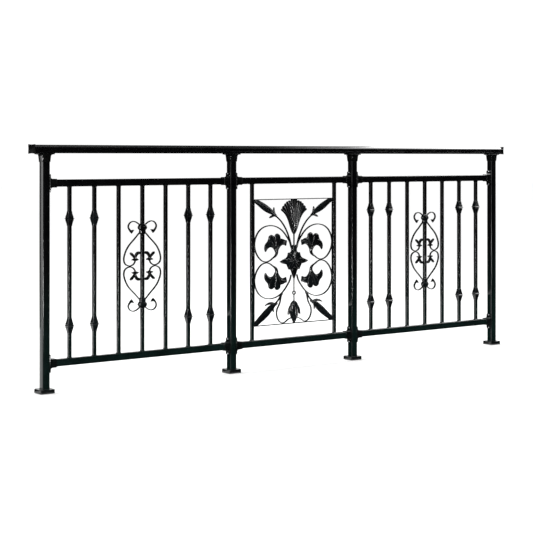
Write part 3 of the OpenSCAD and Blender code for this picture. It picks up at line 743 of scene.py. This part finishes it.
# %% Scrolls, stems, rod and ring
big_scroll = [(18, 68, T), (25, 92, T), (34, 108, T), (46, 124, T), (61, 142, T), (82, 160, T),
              (112, 175, T), (149, 181, T), (188, 174, T), (218, 154, T), (237, 124, T), (244.2, 90, T),
              (238, 57, T), (222, 29, T), (199, 9, T), (172, 2.3, T + 0.5), (150, 8, T), (132, 20, T + 1)]
bud_stem = [(15, 62, T), (22, 92, T), (32, 121, T), (44, 148, T), (60, 175, T), (80, 200, T), (100, 218, T),
            (122, 234, T)]
lower_tail = [(72, -156, 8), (80, -166, 12), (90, -180, 9), (101, -193, 8), (118, -208, 9)]
lower_loop = [(79, -160, T + 1), (84, -186, T), (90, -208, T), (99, -223, T), (107, -240, T),
              (109, -260, T), (105, -277, T), (97, -291, T), (86, -301, T), (71, -305.8, T), (56, -302, T),
              (44, -294, T), (33, -288, T), (15, -283, T)]
scroll_skins = four_ways([drawn(big_scroll, BAR_DEPTH, FLAT_BAR)])
scroll_skins += both_ways([drawn(bud_stem, BAR_DEPTH, FLAT_BAR), drawn(lower_tail, BAR_DEPTH, LEAF, (4, 2)),
                           drawn(lower_loop, BAR_DEPTH, FLAT_BAR)])
scroll_skins += [drawn([(0, 72, 8), (0, 110, 8), (0, 145, 8)], 8, ROUND),
                 drawn([(0, -78, 7), (0, -115, 6), (0, -150, 6)], 7, ROUND),
                 drawn([(0, -169, 6), (0, -190, 7), (0, -205, 7)], 7, ROUND)]
# The ring is an oval section turned round a circle: mean radius, half thickness, half depth, height.
RING_RADIUS, RING_HALF, RING_DEEP, RING_Z = 8.0, 3.0, 4.2, -159.5
angle, turn = np.arange(40) * 2 * math.pi / 40, oval(2.4, count=16)
wide = RING_RADIUS + RING_HALF * turn[:, 0]
ring_grid = np.stack([wide[:, None] * np.cos(angle), RING_DEEP * turn[:, 1][:, None] + 0 * angle,
                      RING_Z + wide[:, None] * np.sin(angle)], -1)
scroll_skins.append(skin(ring_grid, "ring"))
piece("panel_forged_scrolls", placed(scroll_skins, panel_centre), tube_coat, "bar_coat", "panel_scrolls")

# %% [markdown]
# ## Palmette
# The palmette is a cast fan of ribs: five to a side, each ending in a rounded lobe, and three that
# share the square top. A surface between four edges suits it: the two sides, the lobed rim and the
# short root. Lines across that surface fan out from the root by themselves, and the ribs follow them.


# %% Surfaces between four edges
def spread(line, count):
    """The line's points spaced evenly by length."""
    line = np.asarray(line, float)
    run = np.concatenate([[0], np.cumsum(np.linalg.norm(np.diff(line, axis=0), axis=1))])
    even = np.linspace(0, run[-1], count)
    return np.stack([np.interp(even, run, line[:, k]) for k in range(2)], -1)


def between(left, right, rim, rows):
    """Coons patch: the average of left and right edges plus that of root and rim, less the flat
    patch through the four corners. The rim's points set the columns."""
    L, R, E = spread(left, rows)[:, None], spread(right, rows)[:, None], np.asarray(rim, float)[None]
    a, t = np.linspace(0, 1, E.shape[1])[None, :, None], np.linspace(0, 1, rows)[:, None, None]
    B = (1 - a) * L[:1] + a * R[:1]
    corners = (1 - t) * ((1 - a) * L[:1] + a * R[:1]) + t * ((1 - a) * L[-1:] + a * R[-1:])
    return (1 - a) * L + a * R + (1 - t) * B + t * E - corners


def two_faced(flat, thick):
    """Front and back of a casting from one flat grid and its half thickness, sewn at the edge."""
    front = np.stack([flat[..., 0], -thick, flat[..., 1]], -1)
    back = np.stack([flat[..., 0], thick, flat[..., 1]], -1)
    return skin(np.concatenate([front, back[:, ::-1]], 1), "zip")


# %% Palmette outline
def lobe(a, m, b):
    """A parabola from a to b that passes m halfway: the middle weight is twice m less the mean of
    the ends. The last point is left to the next lobe."""
    a, m, b = (np.array(p) for p in (a, m, b))
    t = np.linspace(0, 1, 13)[:-1, None]
    return (1 - t) ** 2 * a + 2 * t * (1 - t) * (2 * m - (a + b) / 2) + t ** 2 * b


side_line = smooth([(1.5, 134), (11, 143), (18, 155), (25, 172), (32, 191), (41, 211), (52, 229), (66, 244),
                    (82, 255.5)], 6)
notches = [(82, 255.5), (73.5, 263), (61.5, 278), (49.5, 290), (36, 299), (19.5, 301)]
bulges = [(78, 262.5), (71.5, 273.5), (58.5, 287.5), (45.5, 297.5), (30, 303.5)]
rim_right = np.vstack([lobe(a, m, b) for a, m, b in zip(notches[:-1], bulges, notches[1:])])
cap = spread([(19.5, 301), (19.3, 308.5), (2, 308.5)], 10)
rim = np.vstack([rim_right, cap, [(0, 308.5)], cap[::-1] * (-1, 1), rim_right[::-1] * (-1, 1)])
ROWS = 40
fan_flat = between(side_line, side_line * (-1, 1), rim, ROWS)

# %% Palmette relief
# Each column is placed on a scale of ribs, 0 to 11. A rib is a half sine wave there, and the
# middle one beats three times. The casting thins to its rim, its root and its two sides.
RIBS = 11
middle_rib = RIBS / 2
rib_place = np.concatenate([np.arange(60) / 12, 5 + np.linspace(0, 0.45, 10)])
rib_place = np.concatenate([rib_place, [middle_rib], RIBS - rib_place[::-1]])
beats = np.where(np.abs(rib_place - middle_rib) < 0.5, 3, 1)
rib = np.abs(np.sin(math.pi * beats * rib_place))[None] ** 0.8
t = np.linspace(0, 1, ROWS)[:, None]
from_side = np.minimum(rib_place, RIBS - rib_place)[None] / 0.35 + 0 * t
edge = np.minimum(1, np.minimum(from_side, (1 - t) * 9 + 0.15))
from_middle = 1 - 0.22 * (rib_place[None] / middle_rib - 1) ** 2
body = (2.8 + 3.2 * np.sin(math.pi * (0.12 + 0.8 * t)) ** 0.8) * from_middle
thick = np.clip(body * (0.34 + 0.66 * rib * np.minimum(1, 4 * t)) * (0.4 + 0.6 * np.sqrt(edge)), 1.0, 6.0)
palm = [two_faced(fan_flat, thick)]
calyx = [drawn([(0, 134, 9), (0, 150, 19), (0, 170, 17), (0, 194, 3)], 13, CUPPED, (3, 5), 1.5),
         *both_ways([drawn([(2, 136, 6), (10, 152, 11), (18, 172, 10), (27, 196, 2)],
                           12, CUPPED, (3, 5), 1.5)])]
piece("cast_palmette", placed(palm + calyx, panel_centre), cast_coat, "cast_iron_coat", "palmette", sharp=60)

# %% [markdown]
# ## Flowers and rosette
# The four lilies and the rosette are castings whose outline matters as much as their relief. Each
# is a thin web with the exact outline and a rounded edge, and petals that swell out of it on both
# faces. A petal is carried along its own curved line; it is cupped, with a raised rim and a midrib,
# because the rims and ribs are what the light picks out on a black casting.


# %% Lilies
WEB_HALF = 2.2
lily_outline = [(134, 15), (113, 25), (104, 35), (99, 50), (96, 66), (87, 77), (74, 84), (62, 83), (50, 76),
                (47, 84), (46, 93), (43, 98), (48, 107), (56, 106), (65, 112), (77, 114), (85, 116),
                (85, 126), (90, 134), (99, 140), (107, 141), (115, 138), (120, 132), (122, 125),
                (128, 131), (136, 135), (145, 135), (153, 131), (159, 124), (160, 115), (164, 105),
                (172, 97), (180, 85), (183, 70), (182, 57), (177, 50), (171, 56), (165, 65), (156, 71),
                (144, 74), (132, 69), (123, 59), (117, 47), (118, 38), (124, 30), (136, 21)]
petals = [
    ([(109, 46, 10), (104, 64, 13), (92, 90, 20), (74, 102, 20), (57, 100, 14), (44, 98, 4)], 10.0),
    ([(107, 48, 8), (101, 62, 11), (90, 80, 14), (74, 89, 14), (60, 86, 11), (50, 78, 3)], 8.5),
    ([(110, 50, 12), (107, 74, 18), (102, 98, 29), (103, 122, 36), (104, 137, 24)], 12.0),
    ([(112, 50, 10), (121, 76, 18), (134, 99, 28), (142, 117, 33), (146, 131, 22)], 11.5),
    ([(114, 52, 8), (127, 76, 16), (147, 91, 26), (167, 84, 26), (177, 69, 15), (178, 52, 3)], 10.5)]
lily = [web(lily_outline, WEB_HALF)]
lily += [drawn(line, depth, CUPPED, (3, 7), 2.0) for line, depth in petals]
lily += [drawn([(134, 18, 6), (119, 27, 10), (110, 38, 15), (108, 54, 19), (108, 68, 10)], 12.5,
               oval(2.0, ribs=10, rib=0.14, count=60), (3, 8), 2.0)]
piece("cast_lilies", placed(four_ways(lily), panel_centre), cast_coat, "cast_iron_coat", "lily_flowers")

# %% Rosette
rosette_half = [(0, 81), (15, 80), (18, 70), (17, 58), (20, 47), (29, 42), (37, 38), (41, 31), (44, 23),
                (51, 16), (62, 12), (76, 7), (89, -1), (76, -9), (60, -13), (48, -15), (44, -24), (39, -33),
                (30, -38), (23, -43), (18, -53), (12, -70), (6, -83), (0, -91.5)]
rosette_half = np.array(rosette_half)
rosette_outline = np.vstack([rosette_half, rosette_half[-2:0:-1] * (-1, 1)])
leaves = [drawn([(5, 5, 8), (15, 17, 20), (25, 29, 24), (33, 37, 15), (38, 41, 5)],
                12.5, CUPPED, (3, 5), 1.5),
          drawn([(5, -5, 8), (14, -17, 20), (24, -29, 23), (32, -37, 14), (36, -40, 5)],
                12.5, CUPPED, (3, 5), 1.5),
          drawn([(9, 0, 9), (24, 1, 16), (37, 2, 27), (46, 0, 18)], 11.5, CUPPED, (3, 5), 1.5),
          drawn([(40, 0, 14), (54, 0, 23), (66, 0, 20), (78, -1, 11), (89, -1, 3)], 9.5, CUPPED, (4, 3), 2.0)]
sheath = drawn([(0, 40, 18), (0, 50, 28), (0, 60, 31), (0, 71, 33), (0, 79, 28), (0, 81, 22)], 11,
               oval(2.6, ribs=16, rib=0.20, count=128), (6, 2), 2.0)
drop = drawn([(0, -28, 14), (0, -42, 32), (0, -54, 32), (0, -70, 21), (0, -83, 11), (0, -91, 3)],
             10.5, CUPPED, (8, 3), 2.0)
top_leaves = [drawn([(0, 10, 8), (0, 26, 15), (0, 42, 13), (0, 60, 3)], 13, CUPPED, (3, 4), 1.5),
              *both_ways([drawn([(5, 30, 8), (11, 46, 12), (13, 62, 10), (16, 77, 3)],
                                12, CUPPED, (3, 4), 1.5)])]
angle, ring = np.arange(32) * 2 * math.pi / 32, np.linspace(0, 1, 11)
dome = 3.4 + 3.6 * np.sqrt(np.clip(1 - (2 * ring - 1) ** 2, 0, 1)) * (0.45 + 0.55 * ring) + 1.2 * (1 - ring)
reach_out = 9.5 * ring[:, None]
disc = np.stack([reach_out * np.cos(angle), -dome[:, None] + 0 * angle, reach_out * np.sin(angle)], -1)
boss = skin(np.vstack([disc, disc[::-1] * (1, -1, 1)]), "pole")
rose = [web(rosette_outline, WEB_HALF), sheath, drop, boss] + both_ways(leaves) + top_leaves
piece("cast_rosette", placed(rose, panel_centre), cast_coat, "cast_iron_coat", "rosette")

# %% [markdown]
# ## Buds
# The corner buds are long ribbed castings with two small leaves at the neck, and they run into the
# corners of the frame. The bottom bud hangs on the rod and stands on the frame. Where a bud meets
# the frame its points are pressed back to the frame's inner face.


# %% Corner buds and bottom bud
def inside_frame(one, slack=0.4):
    """The skin with every point held within the frame's inner faces."""
    points, faces = one
    limit = np.array([inner_half + slack, 100, inner_rise + slack])
    return np.clip(points, -limit, limit), faces


upper_bud = [(114, 229, 9), (127, 239, 15), (145, 250, 25), (167, 263, 32), (190, 277, 32), (211, 290, 27),
             (232, 302, 23), (256, 315, 24)]
lower_bud = [(106, -207, 11), (122, -212, 17), (143, -226, 28), (165, -245, 34), (187, -263, 34),
             (209, -280, 30), (230, -296, 25), (254, -312, 25)]
neck_leaves = [[(121, 234, 14), (124, 247, 13), (126, 260, 10), (125, 272, 3)],
               [(119, 233, 14), (133, 229, 13), (146, 223, 10), (154, 219, 3)],
               [(118, -210, 14), (140, -204, 14), (162, -206, 11), (182, -215, 3)],
               [(124, -212, 14), (131, -228, 14), (128, -250, 3)]]
bud_skins = [drawn(upper_bud, 18, BUD, (8, 1), 2.5), drawn(lower_bud, 18, BUD, (8, 1), 2.5)]
bud_skins += [drawn(line, 9, LEAF, (3, 4), 2.0) for line in neck_leaves]
bud_skins += [drawn([(108, 225, 9), (118, 232, 15), (126, 238, 16), (134, 243, 10)], 15, ROUND, (4, 4), 1.5),
              drawn([(104, -205, 9), (114, -209, 14), (123, -213, 17), (131, -217, 11)],
                    15, ROUND, (4, 4), 1.5)]
corner_buds = [inside_frame(s) for s in both_ways(bud_skins)]
piece("cast_corner_buds", placed(corner_buds, panel_centre), cast_coat, "cast_iron_coat", "corner_buds")
bulb = [(0, -197.5, 4), (0, -203, 24), (0, -212, 42), (0, -225, 54), (0, -240, 59), (0, -255, 55),
        (0, -268, 43), (0, -283, 34), (0, -297, 22), (0, -304, 12), (0, -309, 10)]
bulb_skins = [drawn(bulb, 17, oval(2.2, ribs=16, rib=0.12, count=128), (4, 1), 2.0),
              drawn([(0, -290, 12), (0, -262, 25), (0, -235, 24), (0, -204, 4)], 18.5, LEAF, (5, 5), 2.0)]
bulb_skins += both_ways([
    drawn([(22, -222, 8), (29, -240, 14), (33, -255, 13), (38, -269, 4)], 10, LEAF, (5, 4), 1.5),
    drawn([(8, -292, 8), (17, -270, 13), (21, -245, 13), (14, -212, 4)], 17, LEAF, (5, 5), 2.0)])
bottom_bud = [inside_frame(s) for s in bulb_skins]
piece("cast_bottom_bud", placed(bottom_bud, panel_centre), cast_coat, "cast_iron_coat", "bottom_bud")

# %% [markdown]
# ## Stage, light and camera
# The railing stands on a plain pale floor in a white studio. A gloss black surface shows only what
# it mirrors, so the studio has black flags that show in reflections alone: they keep the front
# faces black, while the tops and the sides that mirror the white wall behind stay light. A card
# overhead glows more and more to the right, which draws the white sheen along the handrail.


# %% Floor and studio
def plain(name, hexcode, roughness):
    """One plain matt colour for the stage."""
    made = bpy.data.materials.new(name)
    made.use_nodes = True
    shader = made.node_tree.nodes["Principled BSDF"]
    shader.inputs["Base Color"].default_value = paint(hexcode)
    shader.inputs["Roughness"].default_value = roughness
    shader.inputs["Specular IOR Level"].default_value = 0.1
    return made


def board(name, x, y, z, coat):
    """One flat sheet of the stage between two places on each axis, in metres. It is level where both
    z are the same and upright where both y are."""
    corners = [(x[0], y[0], z[0]), (x[1], y[0], z[0]), (x[1], y[1], z[1]), (x[0], y[1], z[1])]
    mesh = bpy.data.meshes.new(name)
    mesh.from_pydata(corners, [], [(0, 1, 2, 3)])
    mesh.materials.append(coat)
    obj = bpy.data.objects.new(name, mesh)
    bpy.context.scene.collection.objects.link(obj)
    return obj


board("floor", (-40, 40), (-40, 40), (-0.0005, -0.0005), plain("pale_floor", "#fbfbfb", 0.9))
black = plain("black_flag", "#020202", 1.0)
# The card is dark up to 2.0 m along the railing and full from 3.5 m on.
glow = bpy.data.materials.new("glowing_card")
glow.use_nodes = True
tree = glow.node_tree
along = add(tree, "SeparateXYZ", {0: add(tree, "TexCoord").outputs["Object"]}).outputs["X"]
power = add(tree, "MapRange", {0: along, 1: 2.0, 2: 3.5, 3: 0.0, 4: 9.0}).outputs[0]
lit = add(tree, "Emission", {"Strength": power})
tree.links.new(lit.outputs[0], tree.nodes["Material Output"].inputs["Surface"])
flags = [board("flag_front", (0.5, 18), (-9, -9), (-1, 6), black),
         board("flag_low", (-14, 16), (-9, -0.05), (0.003, 0.003), black),
         board("flag_behind", (-0.15, 6), (0.3, 0.3), (0.25, 1.06), black),
         board("flag_high", (-1, 2.2), (0.3, 0.3), (1.06, 1.6), black),
         board("flag_above", (-3, 1.9), (-1.8, 1.8), (2.0, 2.0), black),
         board("card_above", (1.9, 6), (-1.8, 1.8), (2.0, 2.0), glow)]
# A fin is a narrow flag behind the left of each post. It darkens what the foot and the lowest part
# of the post mirror. The first one stays low, because that face is light down to its foot.
FIN_FAR, FIN_NEAR, FIN_BEHIND = 0.115, 0.021, 0.06
for name, x, top in zip(POSTS, np.array(post_x) / 1000, (0.010, 0.27, 0.27, 0.27)):
    across = (x - FIN_FAR, x - FIN_NEAR)
    flags.append(board(name + "_fin", across, (FIN_BEHIND, FIN_BEHIND), (-0.02, top), black))
for flag in flags:
    flag.visible_camera = flag.visible_diffuse = flag.visible_shadow = False
    flag.visible_transmission = flag.visible_volume_scatter = False

scene = bpy.context.scene
scene.view_settings.view_transform = "Standard"
world = bpy.data.worlds.new("white_studio")
world.use_nodes = True
world.node_tree.nodes["Background"].inputs["Color"].default_value = (1, 1, 1, 1)
world.node_tree.nodes["Background"].inputs["Strength"].default_value = 1.05
scene.world = world


# %% Soft lights
def soft_light(name, place, target, size, power, glint=False):
    """A square area light at a place, turned to face a target. A glint light shows only where it is
    mirrored, so it draws the ridges of the castings without greying their flat faces."""
    lamp = bpy.data.lights.new(name, "AREA")
    lamp.size, lamp.energy = size, power
    obj = bpy.data.objects.new(name, lamp)
    obj.location = place
    way = np.array(target, float) - np.array(place, float)
    lean = math.atan2(math.hypot(way[0], way[1]), -way[2])
    obj.rotation_euler = (lean, 0, math.atan2(way[1], way[0]) - math.pi / 2)
    obj.visible_diffuse = not glint
    bpy.context.scene.collection.objects.link(obj)


soft_light("top_light", (1.2, 1.0, 4.5), (1.39, 0, 0.5), 3.0, 160)
soft_light("left_light", (-2.7, 3.2, 0.75), (0, 0, 0.5), 1.2, 9)
soft_light("key_light", (-4.4, -3.0, 2.4), (1.2, 0, 0.6), 1.0, 220, True)
soft_light("rake_light", (-0.9, -5.8, 2.2), (1.4, 0, 0.6), 0.9, 70, True)
soft_light("low_light", (-0.4, -2.6, 0.15), (1.4, 0, 0.7), 0.5, 100, True)

# %% Camera
camera = bpy.data.objects.new("camera", bpy.data.cameras.new("camera"))
camera.data.lens, camera.data.sensor_width = 95.8, 36
camera.data.shift_y = -0.215
camera.location = (-2.93, -5.65, 1.046)
camera.rotation_euler = (math.radians(90.2), 0, math.radians(-36.3))
bpy.context.scene.collection.objects.link(camera)
scene.camera = camera
